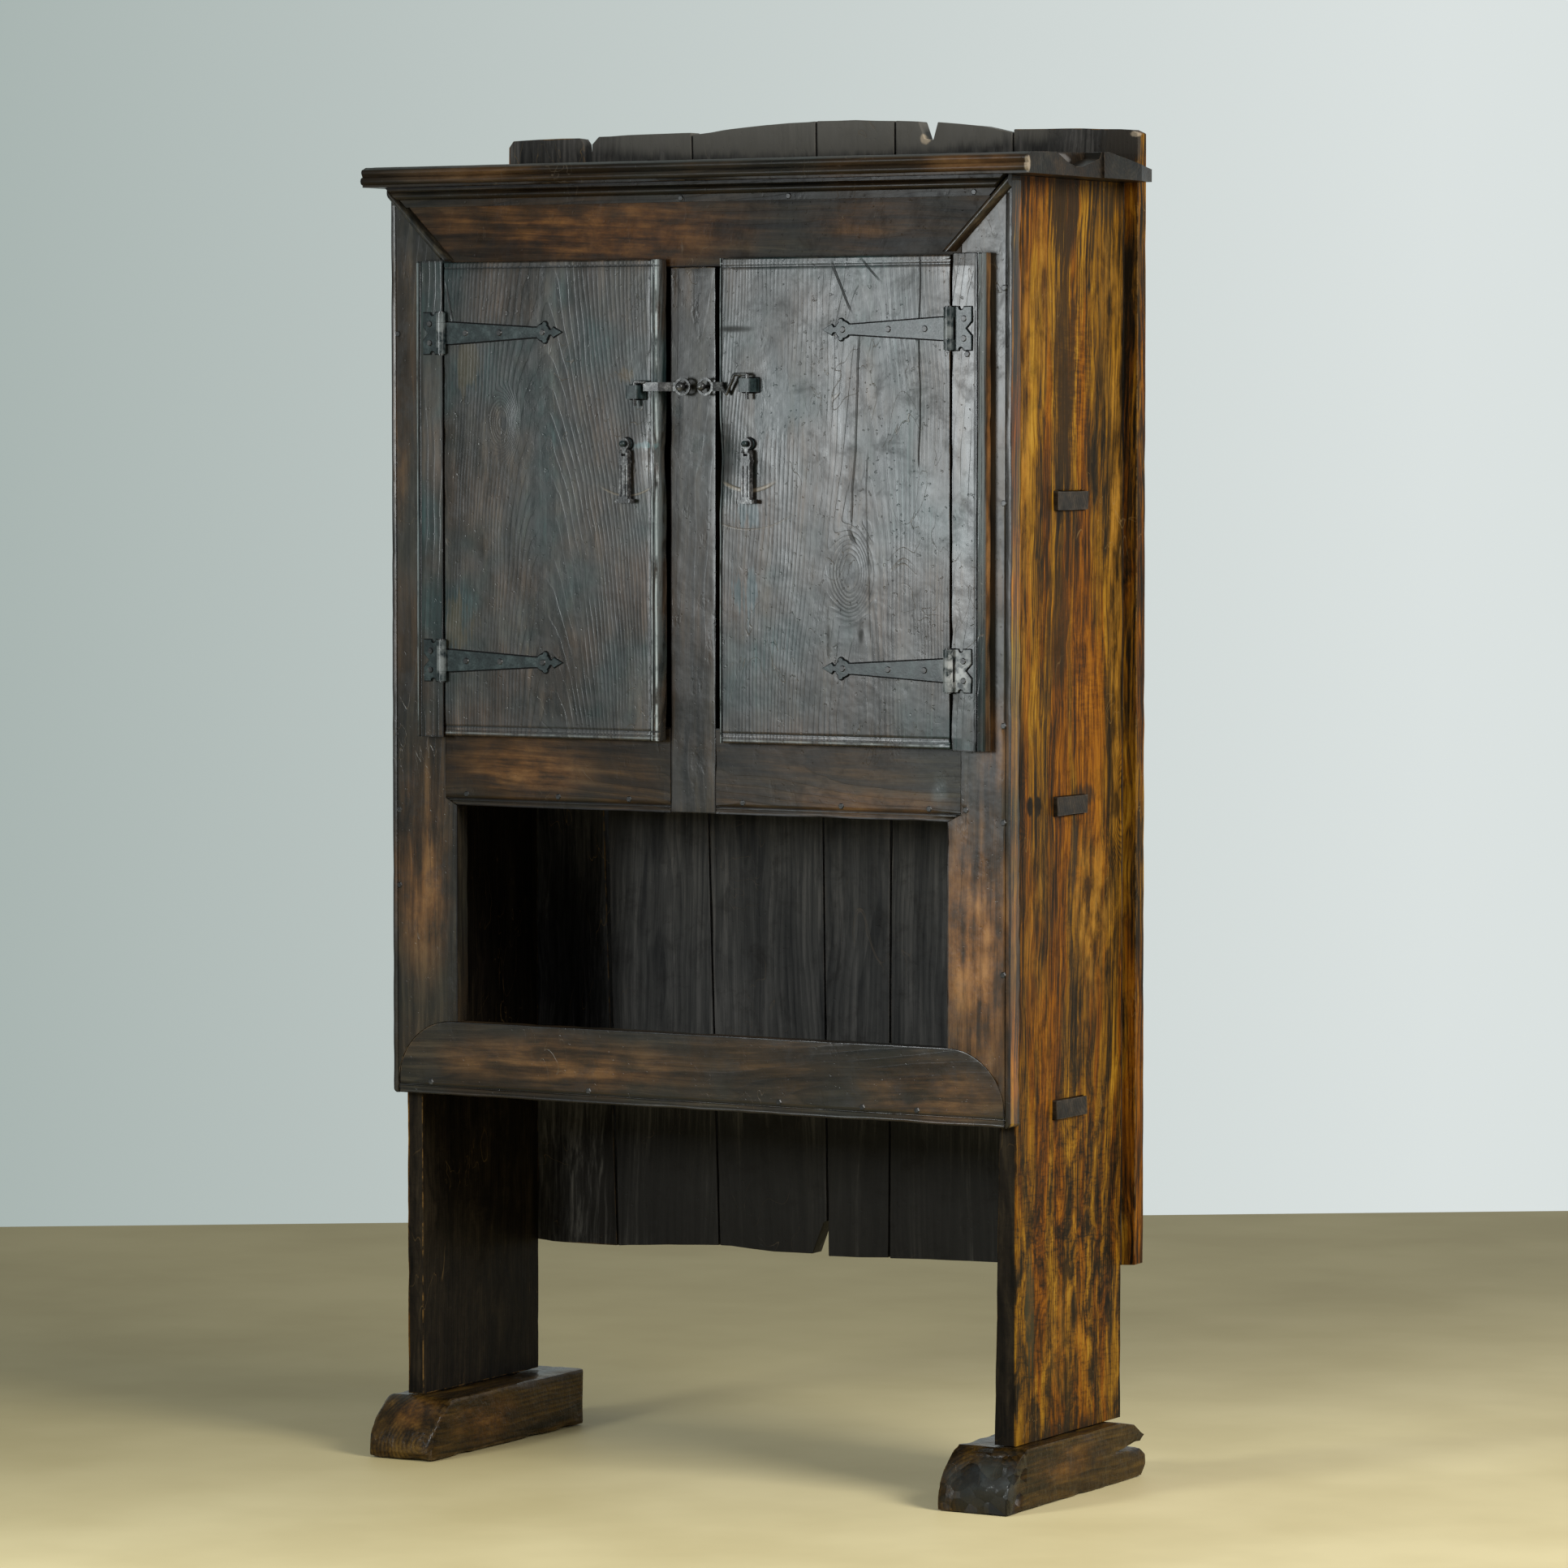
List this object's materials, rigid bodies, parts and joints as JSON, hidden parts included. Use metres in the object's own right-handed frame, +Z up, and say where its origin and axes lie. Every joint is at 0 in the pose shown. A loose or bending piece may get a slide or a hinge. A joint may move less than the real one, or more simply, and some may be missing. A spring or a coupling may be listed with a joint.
{
  "type": "court cupboard",
  "caption": "Tall plank cupboard on trestle feet, with strap-hinged plank doors over an open niche, a moulded cornice and upright back boards.",
  "frame": {"origin": "on the floor, in the middle of the overall length and depth", "axes": "+X to the right as seen from the front, +Y from the doors to the back boards, +Z up"},
  "size_m": [0.965, 0.378, 1.719],
  "materials": {
    "frame_wood": "very dark old waxed finish, rubbed back to warm brown on edges and lower rails",
    "door_wood": "near-black waxed boards with a cool sheen, scratches and small cracks",
    "side_wood": "amber to near-black streaked softwood grain, waxed",
    "inner_wood": "dark dry boards, dull",
    "foot_wood": "dark brown hewn blocks with worn edges",
    "iron": "black forged iron, worn bright on edges and knuckles"
  },
  "bodies": {
    "case": {"back_board_1": "inner_wood", "back_board_2": "inner_wood", "back_board_3": "inner_wood", "back_board_4": "inner_wood", "back_board_5": "inner_wood", "back_board_6": "inner_wood", "back_nails": "iron", "corner_bead_left": "frame_wood", "corner_bead_right": "frame_wood", "cornice_board": "frame_wood", "cornice_moulding": "frame_wood", "cupboard_floor": "inner_wood", "foot_left": "foot_wood", "foot_right": "foot_wood", "frame_nails": "iron", "hinge_pin_left_lower": "iron", "hinge_pin_left_upper": "iron", "hinge_pin_right_lower": "iron", "hinge_pin_right_upper": "iron", "hinge_plate_left_lower": "iron", "hinge_plate_left_upper": "iron", "hinge_plate_right_lower": "iron", "hinge_plate_right_upper": "iron", "hinge_strip_left": "frame_wood", "hinge_strip_right": "frame_wood", "latch_stud_left": "iron", "latch_stud_right": "iron", "lip_rail": "frame_wood", "mid_rail_left": "frame_wood", "mid_rail_right": "frame_wood", "moulding_nails": "iron", "muntin": "frame_wood", "niche_floor": "inner_wood", "plate_screws": "iron", "side_left": "side_wood", "side_right": "side_wood", "stile_left": "frame_wood", "stile_right": "frame_wood", "strip_nail": "iron", "top_rail": "frame_wood", "upper_shelf": "inner_wood"},
    "door_left": {"door_left": "door_wood", "strap_left_upper": "iron", "strap_left_lower": "iron", "strap_screws_left": "iron", "latch_bracket_left": "iron", "pull_staple_left": "iron"},
    "door_right": {"door_right": "door_wood", "strap_right_upper": "iron", "strap_right_lower": "iron", "strap_screws_right": "iron", "latch_bracket_right": "iron", "pull_staple_right": "iron"},
    "latch_left": {"latch_hasp_left": "iron"},
    "pull_link_left": {"pull_link_left": "iron"},
    "pull_bar_left": {"pull_bar_left": "iron"},
    "latch_right": {"latch_hasp_right": "iron"},
    "pull_link_right": {"pull_link_right": "iron"},
    "pull_bar_right": {"pull_bar_right": "iron"}
  },
  "joints": [
    {"name": "door_left_swing", "type": "hinge", "parent": "case", "child": "door_left", "pos_m": [-0.37, -0.1754, 1.237], "axis": [0, 0, -1], "range_deg": [0, 110]},
    {"name": "latch_left_swing", "type": "hinge", "parent": "door_left", "child": "latch_left", "pos_m": [-0.0795, -0.179, 1.3695], "axis": [0, 0, -1], "range_deg": [0, 95]},
    {"name": "pull_left_swing", "type": "hinge", "parent": "door_left", "child": "pull_link_left", "pos_m": [-0.0955, -0.1755, 1.305], "axis": [0, 1, 0], "range_deg": [-30, 30]},
    {"name": "pull_left_lift", "type": "hinge", "parent": "pull_link_left", "child": "pull_bar_left", "pos_m": [-0.0955, -0.1755, 1.293], "axis": [-1, 0, 0], "range_deg": [0, 75]},
    {"name": "door_right_swing", "type": "hinge", "parent": "case", "child": "door_right", "pos_m": [0.365, -0.1754, 1.237], "axis": [0, 0, 1], "range_deg": [0, 110]},
    {"name": "latch_right_swing", "type": "hinge", "parent": "door_right", "child": "latch_right", "pos_m": [0.0835, -0.179, 1.3775], "axis": [0, 0, 1], "range_deg": [0, 95]},
    {"name": "pull_right_swing", "type": "hinge", "parent": "door_right", "child": "pull_link_right", "pos_m": [0.0815, -0.1755, 1.305], "axis": [0, 1, 0], "range_deg": [-30, 30]},
    {"name": "pull_right_lift", "type": "hinge", "parent": "pull_link_right", "child": "pull_bar_right", "pos_m": [0.0815, -0.1755, 1.293], "axis": [-1, 0, 0], "range_deg": [0, 75]}
  ]
}
